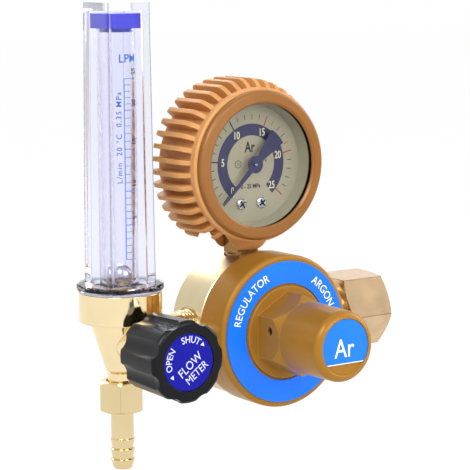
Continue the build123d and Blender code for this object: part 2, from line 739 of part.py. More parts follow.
# Outlet nut: the hexagon nut that clamps the barb's flange to the body's stub
with BuildPart() as outlet_nut:
    with BuildSketch(level_plane(meter_x, nut_bottom)):
        RegularPolygon(nut_af / 2, 6, major_radius=False, rotation=nut_turn)
    extrude(amount=nut_top - nut_bottom)
    outlet_corner = nut_af / math.sqrt(3)
    for end, inward in ((nut_bottom, 1), (nut_top, -1)):
        with BuildSketch(meter_plane):
            with BuildLine():
                Polyline(
                    (nut_af / 2 - 0.2, end - inward), (nut_af / 2 - 0.2, end),
                    (outlet_corner + 0.2, end + inward * 1.0), (outlet_corner + 1, end + inward * 1.0),
                    (outlet_corner + 1, end - inward), close=True)
            make_face()
        revolve(axis=meter_axis, mode=Mode.SUBTRACT)
    with BuildSketch(meter_plane):
        with BuildLine():
            Polyline(
                (0, nut_bottom - 1), (5.0, nut_bottom - 1), (5.0, nut_bottom + 1.6),
                (6.8 + thread_gap, nut_bottom + 1.6), (6.8 + thread_gap, nut_top + 1), (0, nut_top + 1),
                close=True)
        make_face()
    revolve(axis=meter_axis, mode=Mode.SUBTRACT)
outlet_nut.part.label = "outlet_nut"

# Hose barb: the flange under the nut, a plain neck and three barbs with sharp upper edges
barb_bore_r = 2.9
barb_crest_r = 5.3
barb_root_r = 4.5
barb_pitch = 4.55
barb_first = -43.8
with BuildPart() as hose_barb:
    with BuildSketch(meter_plane):
        with BuildLine():
            Polyline(
                (barb_bore_r, barb_end), (3.7, barb_end), (4.2, barb_end + 0.6),
                (barb_root_r, barb_first - 2 * barb_pitch - 2.6), (barb_crest_r, barb_first - 2 * barb_pitch),
                (barb_root_r, barb_first - 2 * barb_pitch + 0.25), (barb_crest_r, barb_first - barb_pitch),
                (barb_root_r, barb_first - barb_pitch + 0.25), (barb_crest_r, barb_first),
                (4.95, barb_first + 0.3), (4.95, nut_bottom + 1.6), (6.7, nut_bottom + 1.6),
                (6.7, nut_bottom + 3.9), (barb_bore_r, nut_bottom + 3.9), close=True)
        make_face()
    revolve(axis=meter_axis)
hose_barb.part.label = "hose_barb"

# Gauge washer: the copper ring in the port's seat
washer_t = 1.2
with BuildPart() as gauge_washer:
    with BuildSketch(level_plane(gauge_x, gauge_seat_z)):
        Circle(7.1)
        Circle(gauge_thread_r + 0.1, mode=Mode.SUBTRACT)
    extrude(amount=washer_t)
gauge_washer.part.label = "gauge_washer"

# Gauge stem: threaded spigot, round collar, square for the spanner and the block inside the case
stem_side = 11.0
collar_top = gauge_seat_z + 3.8
stem_in_case = gauge_z - case_r + 3
block_top = gauge_z - case_r + 8.9
block_width = 13.0
block_depth = 11.0
foot_width = 10.0
thread_end = gauge_seat_z - gauge_thread_length
with BuildPart() as gauge_stem:
    with BuildSketch(stem_plane):
        with BuildLine():
            Polyline(
                (0, thread_end), (3.6, thread_end), (gauge_thread_r - thread_gap, thread_end + 0.7),
                (gauge_thread_r - thread_gap, gauge_seat_z + washer_t), (6.3, gauge_seat_z + washer_t),
                (6.3, gauge_seat_z + washer_t + 0.4), (7.1, gauge_seat_z + washer_t + 0.5),
                (7.1, collar_top - 0.3), (6.8, collar_top), (0, collar_top), close=True)
        make_face()
    revolve(axis=stem_axis)
    with BuildSketch(level_plane(gauge_x, collar_top)):
        Rectangle(stem_side, stem_side)
    extrude(amount=stem_in_case - collar_top)
    with BuildSketch(level_plane(gauge_x, stem_in_case)):
        Rectangle(block_width, block_depth)
    extrude(amount=block_top - stem_in_case)
    with BuildSketch(level_plane(gauge_x, thread_end)):
        Circle(1.0)
    extrude(amount=block_top - 3 - thread_end, mode=Mode.SUBTRACT)
gauge_stem.part.label = "gauge_stem"

# Gauge case: a drawn cup, open at the front, with a square hole for the stem
with BuildPart() as gauge_case:
    with BuildSketch(gauge_plane):
        with BuildLine():
            Polyline(
                (0, case_back), (case_r - 1.5, case_back), (case_r, case_back - 1.5), (case_r, case_front),
                (case_r - case_wall, case_front), (case_r - case_wall, case_back - 1.5 - case_wall / 2),
                (case_r - 1.5 - case_wall / 2, case_back - case_wall), (0, case_back - case_wall), close=True)
        make_face()
    revolve(axis=gauge_axis)
    with BuildSketch(level_plane(gauge_x, gauge_z - case_r - 2)):
        Rectangle(stem_side + 0.1, stem_side + 0.1)
    extrude(amount=8, mode=Mode.SUBTRACT)
gauge_case.part.label = "gauge_case"

# Bezel: the painted ring over the lens, with a rounded face and a skirt over the case
with BuildPart() as bezel:
    with BuildSketch(gauge_plane):
        with BuildLine():
            Polyline(
                (lens_open_r, bezel_front + 1.5), (lens_open_r, bezel_front + 0.9),
                (lens_open_r + 0.9, bezel_front))
            Line((lens_open_r + 0.9, bezel_front), (bezel_r - 1.4, bezel_front + 0.2))
            RadiusArc((bezel_r - 1.4, bezel_front + 0.2), (bezel_r, bezel_front + 1.8), -1.7)
            Polyline(
                (bezel_r, bezel_front + 1.8), (bezel_r, bezel_front + 3.0), (skirt_r, bezel_front + 3.0),
                (skirt_r, skirt_end), (case_r, skirt_end), (case_r, bezel_front + 1.5),
                (lens_open_r, bezel_front + 1.5))
        make_face()
    revolve(axis=gauge_axis)
bezel.part.label = "bezel"

# Lens: the clear window under the bezel's lip
with BuildPart() as lens:
    with BuildSketch(front_plane(gauge_x, case_front - 0.6, gauge_z)):
        Circle(case_r - 0.2)
    extrude(amount=-(bezel_front + 1.5) + case_front - 0.6)
lens.part.label = "lens"

# Lens gasket: the black ring between the lens and the case
with BuildPart() as lens_gasket:
    with BuildSketch(front_plane(gauge_x, case_front, gauge_z)):
        Circle(case_r - 0.2)
        Circle(lens_open_r + 0.2, mode=Mode.SUBTRACT)
    extrude(amount=0.6)
lens_gasket.part.label = "lens_gasket"

# Dial ring: the pale sloping wall between the lens and the dial
with BuildPart() as dial_ring:
    with BuildSketch(gauge_plane):
        with BuildLine():
            Polyline(
                (lens_open_r - 1.1, dial_face), (case_r - case_wall - 0.1, dial_face),
                (case_r - case_wall - 0.1, case_front), (lens_open_r, case_front), close=True)
        make_face()
    revolve(axis=gauge_axis)
dial_ring.part.label = "dial_ring"

# Dial: a thin disc with holes for the pointer's shaft and the two screws
screw_x = 5.4
screw_z = -17.6
screw_r = 1.2
screw_length = 3.0
screw_head = 1.4
dial_t = 0.6
with BuildPart() as dial:
    with BuildSketch(front_plane(gauge_x, dial_face + dial_t, gauge_z)):
        Circle(case_r - case_wall - 0.2)
        Circle(1.4, mode=Mode.SUBTRACT)
        with Locations((-screw_x, screw_z), (screw_x, screw_z)):
            Circle(screw_r + 0.1, mode=Mode.SUBTRACT)
    extrude(amount=dial_t)
dial.part.label = "dial"

# Dial screws: two cross-headed screws
with BuildPart() as dial_screws:
    with BuildSketch(front_plane(gauge_x, dial_face, gauge_z)):
        with Locations((-screw_x, screw_z), (screw_x, screw_z)):
            Circle(2.6)
    extrude(amount=screw_head)
    chamfer(dial_screws.faces().sort_by(Axis.Y)[0:2].edges(), 0.5)
    with BuildSketch(front_plane(gauge_x, dial_face + screw_length, gauge_z)):
        with Locations((-screw_x, screw_z), (screw_x, screw_z)):
            Circle(screw_r)
    extrude(amount=screw_length)
    with BuildSketch(front_plane(gauge_x, dial_face - screw_head, gauge_z)):
        with Locations((-screw_x, screw_z), (screw_x, screw_z)):
            Rectangle(3.8, 0.9, rotation=35)
            Rectangle(0.9, 3.8, rotation=35)
    extrude(amount=-0.9, mode=Mode.SUBTRACT)
dial_screws.part.label = "dial_screws"

# Stop pin: the pointer rests against it at zero
pointer_back = -11.2
zero_angle = 225
stop_angle = zero_angle + 3.6
stop_reach = 18.2
with BuildPart() as stop_pin:
    with BuildSketch(turned_plane(gauge_x, dial_face, gauge_z, stop_angle)):
        with Locations((stop_reach, 0)):
            Circle(0.45)
    extrude(amount=dial_face - pointer_back + 0.9)
stop_pin.part.label = "stop_pin"

# Pointer: a tapered hand with a round hub and a wedge-shaped tail, at zero
pointer_reach = case_r - 6.2
shaft_r = 0.6
hub_t = 0.5
with BuildPart() as pointer:
    with BuildSketch(turned_plane(gauge_x, pointer_back, gauge_z, zero_angle)):
        with BuildLine():
            Polyline(
                (pointer_reach, 0.2), (3.0, 1.25), (-3.0, 1.5), (-16.8, 4.3))
            ThreePointArc((-16.8, 4.3), (-17.4, 0), (-16.8, -4.3))
            Polyline((-16.8, -4.3), (-3.0, -1.5), (3.0, -1.25), (pointer_reach, -0.2), (pointer_reach, 0.2))
        make_face()
        Circle(3.9)
    extrude(amount=0.5)
    with BuildSketch(front_plane(gauge_x, pointer_back - 0.5, gauge_z)):
        Circle(1.5)
    extrude(amount=hub_t)
    with BuildSketch(front_plane(gauge_x, pointer_back, gauge_z)):
        Circle(shaft_r)
    extrude(amount=0.5 + hub_t, mode=Mode.SUBTRACT)
pointer.part.label = "pointer"

# Pinion: the pointer's shaft with its small gear
pinion_r = 1.6
gear_ratio = 8
gear_back = 0.6
gear_t = 2.0
tooth_count = 12
rear_plate = 4.2     # back face of the movement's rear plate
with BuildPart() as pinion:
    with BuildSketch(front_plane(gauge_x, rear_plate + 0.2, gauge_z)):
        Circle(shaft_r)
    extrude(amount=rear_plate + 0.2 - pointer_back + 0.5 + hub_t + 0.2)
    with BuildSketch(front_plane(gauge_x, gear_back + 0.3, gauge_z)):
        Circle(pinion_r - 0.3)
        with PolarLocations(pinion_r - 0.15, tooth_count):
            Rectangle(0.6, 0.3)
    extrude(amount=gear_t + 0.6)
pinion.part.label = "pinion"

# Sector: the toothed quadrant that turns the pinion, with a tail for the link
sector_r = pinion_r * gear_ratio
pivot_r = 0.8
sector_z = gauge_z - sector_r - pinion_r - 0.45
sector_low = 50.5
sector_teeth = 12
tooth_angle = 360 / (tooth_count * gear_ratio)
sector_high = sector_low + sector_teeth * tooth_angle
tail_reach = 6.0
tail_angle = 305
tail_x = gauge_x + tail_reach * math.cos(math.radians(tail_angle))
tail_z = sector_z + tail_reach * math.sin(math.radians(tail_angle))
link_pin_r = 0.5


def rim_point(angle):
    """A point on the sector's toothed rim, from its pivot."""
    return (sector_r * math.cos(math.radians(angle)), sector_r * math.sin(math.radians(angle)))


with BuildPart() as sector:
    with BuildSketch(front_plane(gauge_x, gear_back, sector_z)):
        with BuildLine():
            CenterArc((0, 0), sector_r, sector_low, sector_high - sector_low)
            Polyline(rim_point(sector_high), (-1.6, 0), (1.6, 0), rim_point(sector_low))
        make_face()
        Circle(2.4)
        for tooth in range(sector_teeth):
            with PolarLocations(sector_r, 1, start_angle=sector_low + (tooth + 0.5) * tooth_angle):
                Rectangle(0.5, 0.35)
        with Locations(Location((0, 0, 0), (0, 0, tail_angle))):
            with Locations((tail_reach / 2, 0)):
                SlotCenterToCenter(tail_reach, 2.6)
        Circle(pivot_r + running_gap, mode=Mode.SUBTRACT)
        with Locations((tail_x - gauge_x, tail_z - sector_z)):
            Circle(link_pin_r + running_gap, mode=Mode.SUBTRACT)
    extrude(amount=gear_t)
sector.part.label = "sector"

# Curved tube: the flattened spring tube, from the stem's block clockwise to its free end
curve_r = case_r - 6.9
curve_start = 258
curve_sweep = 285
curve_width = 6.0
curve_y = 1.9
start_turn = math.radians(curve_start)
with BuildPart() as curved_tube:
    with BuildSketch(Plane(
            origin=(gauge_x, curve_y, gauge_z), x_dir=(math.cos(start_turn), 0, math.sin(start_turn)),
            z_dir=(math.sin(start_turn), 0, -math.cos(start_turn)))):
        with Locations((curve_r, 0)):
            SlotOverall(curve_width, 2.2, rotation=90)
    revolve(axis=gauge_axis, revolution_arc=curve_sweep)
curved_tube.part.label = "curved_tube"

# Link: a pin through the sector's tail, and an arm that reaches over the tube's free end
tip_turn = math.radians(curve_start - curve_sweep + 2)
tip_x = gauge_x + curve_r * math.cos(tip_turn)
tip_z = gauge_z + curve_r * math.sin(tip_turn)
link_length = math.hypot(tip_x - tail_x, tip_z - tail_z)
link_angle = math.degrees(math.atan2(tip_z - tail_z, tip_x - tail_x))
link_back = gear_back - gear_t - 0.3
with BuildPart() as link:
    with BuildSketch(turned_plane(tail_x, link_back, tail_z, link_angle)):
        with Locations((link_length / 2, 0)):
            SlotCenterToCenter(link_length, 2.2)
        with Locations((link_length, 0)):
            Circle(0.6, mode=Mode.SUBTRACT)
    extrude(amount=0.8)
    with BuildSketch(front_plane(tail_x, gear_back, tail_z)):
        Circle(link_pin_r)
    extrude(amount=gear_back - link_back)
link.part.label = "link"

# Movement frame: two plates on pillars that carry the pinion and the sector, bosses for the dial
# and a foot on the stem's block
pillar_x = 11.2
pillar_r = 1.6
plate_t = 1.0
front_plate = -5.2
with BuildPart() as movement_frame:
    for plate_y in (front_plate, rear_plate):
        with BuildSketch(front_plane(gauge_x, plate_y, gauge_z - 6)):
            RectangleRounded(2 * pillar_x + 5, 25, 2.5)
            with Locations((0, 6)):
                Circle(shaft_r + running_gap, mode=Mode.SUBTRACT)
        extrude(amount=plate_t)
    with BuildSketch(front_plane(gauge_x, front_plate, gauge_z)):
        with Locations((-screw_x, screw_z), (screw_x, screw_z)):
            Circle(2.2)
    extrude(amount=front_plate - dial_face - dial_t)
    with BuildSketch(front_plane(gauge_x, front_plate + 1, gauge_z)):
        with Locations((-screw_x, screw_z), (screw_x, screw_z)):
            Circle(screw_r + thread_gap)
    extrude(amount=6, mode=Mode.SUBTRACT)
    with BuildSketch(front_plane(gauge_x, rear_plate, gauge_z + 3.6)):
        with Locations((-pillar_x, 0), (pillar_x, 0)):
            Circle(pillar_r)
    extrude(amount=rear_plate - front_plate)
    with BuildSketch(front_plane(gauge_x, rear_plate, sector_z)):
        Circle(pivot_r)
    extrude(amount=rear_plate - front_plate)
    with BuildSketch(front_plane(gauge_x, rear_plate, gauge_z)):
        with Locations((0, block_top - gauge_z)):
            Rectangle(foot_width, 5, align=(Align.CENTER, Align.MIN))
    extrude(amount=plate_t)
    with BuildSketch(level_plane(gauge_x, block_top)):
        with Locations((0, gear_back + 0.6)):
            Rectangle(foot_width, rear_plate - gear_back - 0.6, align=(Align.CENTER, Align.MIN))
    extrude(amount=plate_t)
movement_frame.part.label = "movement_frame"

# Gauge boot: the soft cover round the gauge, with a smooth rim, fins that rise behind it and a
# bowl-shaped collar behind and beside the stem
boot_bore_r = case_r + 0.1
boot_hole_r = 20.0
valley_r = boot_bore_r + boot_wall
collar_low = collar_top + 2.0
collar_mid = collar_low + 4.8
collar_high = gauge_z - boot_r + 2.2
collar_low_r = 8.6
collar_mid_r = 12.6
collar_top_r = 14.2
slot_wall = stem_side / 2 + 0.8
fin_rise = 7.5
fin_corner = 3.0
fin_end = boot_back - 2.6
with BuildPart() as gauge_boot:
    with BuildSketch(gauge_plane):
        with BuildLine():
            Polyline(
                (skirt_r + 0.2, boot_front), (boot_r - 0.6, boot_front), (boot_r, boot_front + 0.6),
                (boot_r, fin_start), (boot_r - 0.6, fin_start + 1.4), (valley_r, fin_start + 2.6),
                (valley_r, boot_back - 1.8), (valley_r - 1.8, boot_back), (boot_hole_r, boot_back),
                (boot_hole_r, case_back + 0.2), (boot_bore_r, case_back + 0.2),
                (boot_bore_r, skirt_end + 0.4), (skirt_r + 0.2, skirt_end + 0.4), close=True)
        make_face()
    revolve(axis=gauge_axis)
    with BuildSketch(stem_plane):
        with BuildLine():
            Line((0, collar_low), (collar_low_r, collar_low))
            Spline(
                (collar_low_r, collar_low), (collar_mid_r, collar_mid), (collar_top_r, collar_high + 2),
                tangents=((1, 0.5), (0, 1)))
            Polyline((collar_top_r, collar_high + 2), (0, collar_high + 2), (0, collar_low))
        make_face()
    revolve(axis=stem_axis)
    for fin in range(fin_count):
        turn = 360 / fin_count * (fin + 0.5)
        if abs(turn - 270) < 24:
            continue
        spoke = Plane(
            origin=(gauge_x, 0, gauge_z),
            x_dir=(math.cos(math.radians(turn)), 0, math.sin(math.radians(turn))),
            z_dir=(-math.sin(math.radians(turn)), 0, math.cos(math.radians(turn))))
        with BuildSketch(spoke):
            with BuildLine():
                Polyline((valley_r - 0.8, fin_end), (valley_r - 0.8, fin_start), (boot_r - 0.3, fin_start))
                Spline(
                    (boot_r - 0.3, fin_start), (fin_r, fin_start + fin_rise), tangents=((0.9, 1), (0, 1)))
                Line((fin_r, fin_start + fin_rise), (fin_r, fin_end - fin_corner))
                Spline(
                    (fin_r, fin_end - fin_corner), (fin_r - fin_corner, fin_end), tangents=((0, 1), (-1, 0)))
                Line((fin_r - fin_corner, fin_end), (valley_r - 0.8, fin_end))
            make_face()
        extrude(amount=fin_t / 2, both=True)
    with BuildSketch(gauge_plane):
        with BuildLine():
            Polyline(
                (0, boot_front - 5), (skirt_r + 0.2, boot_front - 5), (skirt_r + 0.2, skirt_end + 0.4),
                (boot_bore_r, skirt_end + 0.4), (boot_bore_r, case_back + 0.2), (0, case_back + 0.2),
                close=True)
        make_face()
    revolve(axis=gauge_axis, mode=Mode.SUBTRACT)
    with BuildSketch(level_plane(gauge_x, collar_low - 1)):
        with Locations((-slot_wall, 0)):
            Rectangle(30, 2 * slot_wall, align=(Align.MAX, Align.CENTER))
        Rectangle(2 * slot_wall, 2 * slot_wall)
    extrude(amount=gauge_z - case_r - collar_low + 2, mode=Mode.SUBTRACT)
gauge_boot.part.label = "gauge_boot"

os.makedirs("parts", exist_ok=True)
for piece in (
        regulator_body, bonnet, ring_label, cap_label, adjusting_screw, spring_seat, main_spring, diaphragm,
        slip_ring, diaphragm_plate, plate_nut, valve_seat, valve_pin, valve_spring, inlet_stem, inlet_filter,
        inlet_gasket, inlet_nut, connection_nipple, flowmeter_body, flow_cover, cover_gasket, flow_tube,
        tube_ring, tube_plug, flow_ball, needle_gland, gland_packing, needle, knob, knob_label, knob_screw,
        outlet_nut, hose_barb, gauge_washer, gauge_stem, gauge_case, bezel, lens, lens_gasket, dial_ring,
        dial, dial_screws, stop_pin, pointer, pinion, sector, link, movement_frame, curved_tube, gauge_boot):
    export_step(piece.part, f"parts/{piece.part.label}.step")
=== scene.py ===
import math
from functools import partial

import bpy
from mathutils import Matrix, Vector


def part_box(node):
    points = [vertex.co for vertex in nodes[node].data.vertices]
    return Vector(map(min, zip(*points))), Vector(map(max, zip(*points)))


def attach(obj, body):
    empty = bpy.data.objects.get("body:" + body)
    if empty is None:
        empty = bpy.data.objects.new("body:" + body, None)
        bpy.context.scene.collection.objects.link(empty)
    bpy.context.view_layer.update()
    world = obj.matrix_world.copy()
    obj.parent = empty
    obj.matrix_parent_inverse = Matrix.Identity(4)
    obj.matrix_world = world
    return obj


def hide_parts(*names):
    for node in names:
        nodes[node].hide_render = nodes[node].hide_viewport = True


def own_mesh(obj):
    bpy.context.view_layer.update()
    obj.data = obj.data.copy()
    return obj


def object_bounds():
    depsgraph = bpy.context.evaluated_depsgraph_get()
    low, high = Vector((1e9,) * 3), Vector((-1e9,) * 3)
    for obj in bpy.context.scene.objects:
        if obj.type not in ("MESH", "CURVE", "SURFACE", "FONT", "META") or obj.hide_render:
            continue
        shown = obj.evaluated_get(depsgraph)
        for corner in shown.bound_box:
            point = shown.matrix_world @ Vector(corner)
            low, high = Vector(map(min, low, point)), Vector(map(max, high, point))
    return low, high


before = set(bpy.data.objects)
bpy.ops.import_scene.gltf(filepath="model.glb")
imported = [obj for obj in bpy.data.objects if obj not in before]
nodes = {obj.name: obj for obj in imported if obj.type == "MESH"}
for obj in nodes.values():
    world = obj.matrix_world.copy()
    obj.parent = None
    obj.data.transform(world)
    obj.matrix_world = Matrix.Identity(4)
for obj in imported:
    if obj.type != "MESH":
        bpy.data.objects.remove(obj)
cad_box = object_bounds()
scene = bpy.context.scene
MM = 0.001
WHITE = (1, 1, 1, 1)


def face_y(node):
    """The front of a node, which is its lowest Y."""
    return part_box(node)[0][1]


def middle_of(node):
    """The middle of a node's box."""
    low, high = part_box(node)
    return (Vector(low) + Vector(high)) / 2


REG_X = middle_of("ring_label").x
METER_X = middle_of("flow_tube").x
GAUGE = middle_of("dial")
KNOB_Z = middle_of("knob_label").z


def linear(red, green, blue):
    """A colour given as 0 to 255, as linear values with alpha."""
    out = []
    for value in (red, green, blue):
        value /= 255
        out.append(value / 12.92 if value <= 0.04045 else ((value + 0.055) / 1.055) ** 2.4)
    return (*out, 1.0)


def polar(radius, angle):
    """The flat point at a radius and an angle in degrees."""
    turn = math.radians(angle)
    return radius * math.cos(turn), radius * math.sin(turn)


# Shader nodes
def calculated(tree, kind, *values):
    """The result of a math node. Each value is a number or another node's output."""
    made = tree.nodes.new("ShaderNodeMath")
    made.operation = kind
    for socket, value in zip(made.inputs, values):
        if isinstance(value, (int, float)):
            socket.default_value = value
        else:
            tree.links.new(value, socket)
    return made.outputs[0]


def mapped(tree, value, low, high, start, end, kind="LINEAR"):
    """A value taken from the range low to high, to the range start to end."""
    made = tree.nodes.new("ShaderNodeMapRange")
    made.interpolation_type = kind
    for key, number in (("From Min", low), ("From Max", high), ("To Min", start), ("To Max", end)):
        made.inputs[key].default_value = number
    tree.links.new(value, made.inputs["Value"])
    return made.outputs["Result"]


def noise(tree, place, scale, detail):
    """Cloudy noise of a scale per metre."""
    made = tree.nodes.new("ShaderNodeTexNoise")
    made.inputs["Scale"].default_value = scale
    made.inputs["Detail"].default_value = detail
    tree.links.new(place, made.inputs["Vector"])
    return made.outputs["Fac"]


def softened(tree, radius, samples):
    """A normal that rounds edges off by a radius in mm."""
    made = tree.nodes.new("ShaderNodeBevel")
    made.samples = samples
    made.inputs["Radius"].default_value = radius * MM
    return made.outputs["Normal"]


def bumped(tree, height, depth, normal):
    """A normal with a bump of a depth in mm, over another normal where there is one."""
    made = tree.nodes.new("ShaderNodeBump")
    made.inputs["Distance"].default_value = depth * MM
    made.inputs["Strength"].default_value = 1.0
    tree.links.new(height, made.inputs["Height"])
    if normal:
        tree.links.new(normal, made.inputs["Normal"])
    return made.outputs["Normal"]


def tinted(tree, colour, share):
    """Lays a colour over the material's own colour."""
    base = tree.nodes["Principled BSDF"].inputs["Base Color"]
    made = tree.nodes.new("ShaderNodeMix")
    made.data_type = "RGBA"
    ends = {socket.name: socket for socket in made.inputs if socket.type == "RGBA"}
    tree.links.new(base.links[0].from_socket, ends["A"])
    ends["B"].default_value = colour
    tree.links.new(share, made.inputs["Factor"])
    tree.links.new(next(socket for socket in made.outputs if socket.type == "RGBA"), base)


# Materials
COAT_ROUGH = 0.08
ROUGH_SPREAD = 0.25
MOTTLE_DETAIL = 4
MOTTLE_STOPS = (0.3, 0.7)
GRAIN_DETAIL = 3
SOFT_SAMPLES = 4
EDGE_SAMPLES = 8
EDGE_RANGE = (0.995, 0.93)
CORNER_RANGE = (0.05, 0.5)


def material(name, colour, rough, metal=0.0, coat=0.0, grain=(900, 0.02), mottle=(60, 0.06),
             bevel=0.25, pits=None, **sockets):
    """A principled material with mottled colour, uneven roughness, a fine grain in its bump and
    softened edges. grain is the scale per metre and the depth in mm, or None for a clear piece.
    mottle is the scale and the share of the colour. pits is the scale, the depth in mm and the
    width of small dents."""
    made = bpy.data.materials.new(name)
    made.use_nodes = True
    tree = made.node_tree
    link = tree.links.new
    shader = tree.nodes["Principled BSDF"]
    shader.inputs["Metallic"].default_value = metal
    shader.inputs["Coat Weight"].default_value = coat
    shader.inputs["Coat Roughness"].default_value = COAT_ROUGH
    for key, value in sockets.items():
        shader.inputs[key.replace("_", " ")].default_value = value
    place = tree.nodes.new("ShaderNodeTexCoord").outputs["Object"]
    cloud = noise(tree, place, mottle[0], MOTTLE_DETAIL)
    ramp = tree.nodes.new("ShaderNodeValToRGB")
    for stop, position, side in zip(ramp.color_ramp.elements, MOTTLE_STOPS, (-1, 1)):
        stop.position = position
        stop.color = (*[min(1, part * (1 + side * mottle[1])) for part in colour[:3]], 1)
    link(cloud, ramp.inputs["Fac"])
    link(ramp.outputs["Color"], shader.inputs["Base Color"])
    uneven = mapped(tree, cloud, 0.0, 1.0, rough * (1 - ROUGH_SPREAD), rough * (1 + ROUGH_SPREAD))
    link(uneven, shader.inputs["Roughness"])
    if not grain:
        return made
    normal = softened(tree, bevel, SOFT_SAMPLES) if bevel else None
    if pits:
        cells = tree.nodes.new("ShaderNodeTexVoronoi")
        cells.inputs["Scale"].default_value = pits[0]
        link(place, cells.inputs["Vector"])
        dents = mapped(tree, cells.outputs["Distance"], 0.0, pits[2], 0.0, 1.0)
        normal = bumped(tree, dents, pits[1], normal)
    normal = bumped(tree, noise(tree, place, grain[0], GRAIN_DETAIL), grain[1], normal)
    link(normal, shader.inputs["Normal"])
    return made


def ink(name, colour, rough=0.5, mottle=0.06, bevel=0):
    """Print on a label, a dial or a tube."""
    return material(name, colour, rough, grain=(900, 0.003), mottle=(300, mottle), bevel=bevel)


def clear(name, colour, refraction, rough=0.0, **sockets):
    """Glass or clear plastic."""
    return material(name, colour, rough, grain=None, mottle=(30, 0.003), Transmission_Weight=1.0,
                    IOR=refraction, **sockets)


def edge_lines(look, radius, colour, share):
    """Painted highlights (paler) and painted shade (darker) along edges, where a softened normal leaves
    the face's own.
    """
    tree = look.node_tree
    near = tree.nodes.new("ShaderNodeVectorMath")
    near.operation = "DOT_PRODUCT"
    tree.links.new(softened(tree, radius, EDGE_SAMPLES), near.inputs[0])
    tree.links.new(tree.nodes.new("ShaderNodeNewGeometry").outputs["Normal"], near.inputs[1])
    tinted(tree, colour, mapped(tree, near.outputs["Value"], *EDGE_RANGE, 0.0, share))


def corner_shade(look, node, core, colour, share):
    """Painted shade: a darker tint where the outer surface turns from one face to the next. The space
    within the core radius, in mm, of the piece's upright axis is left as it is."""
    one_way, both_ways, rim = -0.9, 1.6, 0.3
    tree = look.node_tree
    work = partial(calculated, tree)
    points = [vertex.co for vertex in nodes[node].data.vertices]
    middle = [(min(p[i] for p in points) + max(p[i] for p in points)) / 2 for i in (0, 1)]
    place = tree.nodes.new("ShaderNodeTexCoord")
    facing = tree.nodes.new("ShaderNodeSeparateXYZ")
    tree.links.new(place.outputs["Normal"], facing.inputs[0])
    x, y, z = [work("ABSOLUTE", part) for part in facing.outputs]
    signed = work("MULTIPLY", facing.outputs[0], facing.outputs[1])
    either = work("MULTIPLY", work("ABSOLUTE", signed), both_ways)
    upright = work("ADD", work("MULTIPLY", signed, one_way), either)
    level = work("MULTIPLY", work("MULTIPLY", z, work("MAXIMUM", x, y)), rim)
    spot = tree.nodes.new("ShaderNodeSeparateXYZ")
    tree.links.new(place.outputs["Object"], spot.inputs[0])
    u, v = [work("SUBTRACT", spot.outputs[i], middle[i]) for i in (0, 1)]
    reach = work("SQRT", work("ADD", work("MULTIPLY", u, u), work("MULTIPLY", v, v)))
    mask = mapped(tree, work("ADD", upright, level), *CORNER_RANGE, 0.0, share)
    tinted(tree, colour, work("MULTIPLY", mask, work("GREATER_THAN", reach, core * MM)))


# Metals
brass_polished = material("polished brass", linear(246, 226, 180), 0.10, metal=1.0, grain=(260, 0.012),
                          mottle=(45, 0.05), bevel=0.3)
brass_satin = material("satin brass", linear(211, 196, 160), 0.36, metal=1.0, grain=(1200, 0.01),
                       mottle=(70, 0.05), bevel=0.3)
brass_barb = material("drawn brass", linear(231, 209, 162), 0.14, metal=1.0, grain=(260, 0.012),
                      mottle=(45, 0.05), bevel=0.3)
brass_nut = material("pitted brass", linear(217, 186, 146), 0.16, metal=1.0, grain=(420, 0.02),
                     mottle=(120, 0.08), bevel=0.35, pits=(420, 0.03, 0.25))
steel = material("bright steel", linear(205, 206, 210), 0.16, metal=1.0, grain=(700, 0.006),
                 mottle=(90, 0.06))
grey_steel = material("plated steel", linear(170, 168, 162), 0.35, metal=1.0, grain=(900, 0.01),
                      mottle=(90, 0.08))
copper = material("copper", linear(190, 120, 85), 0.35, metal=1.0, grain=(900, 0.01), mottle=(90, 0.08))
bronze = material("sintered bronze", linear(150, 112, 66), 0.6, metal=0.8, grain=(1500, 0.08),
                  mottle=(300, 0.2))

# Paints and films
ochre = material("ochre paint", linear(155, 109, 40), 0.32, metal=0.1, grain=(500, 0.012),
                 mottle=(40, 0.05), bevel=0.4, Specular_IOR_Level=0.26,
                 Specular_Tint=(1.0, 0.78, 0.42, 1.0))
stem_paint = material("gilt paint", linear(158, 114, 60), 0.22, metal=0.7, grain=(600, 0.02),
                      mottle=(90, 0.1), bevel=0.3)
bezel_paint = material("bezel paint", linear(142, 92, 40), 0.34, metal=0.1, coat=0.08, grain=(600, 0.012),
                       mottle=(50, 0.05), bevel=0.3, Specular_IOR_Level=0.3)
pointer_paint = material("pointer paint", linear(46, 47, 84), 0.35, coat=0.1, grain=(900, 0.004),
                         mottle=(200, 0.06), bevel=0.1)
cream = material("dial enamel", linear(161, 155, 133), 0.42, grain=(900, 0.004), mottle=(60, 0.03),
                 bevel=0.1)
azure = material("azure film", linear(16, 116, 250), 0.3, coat=0.05, grain=(800, 0.004),
                 mottle=(60, 0.04), bevel=0.1, Specular_IOR_Level=0.25)
deep_blue = material("deep blue film", linear(11, 13, 144), 0.3, coat=0.05, grain=(800, 0.004),
                     mottle=(60, 0.05), bevel=0.1, Specular_IOR_Level=0.14)

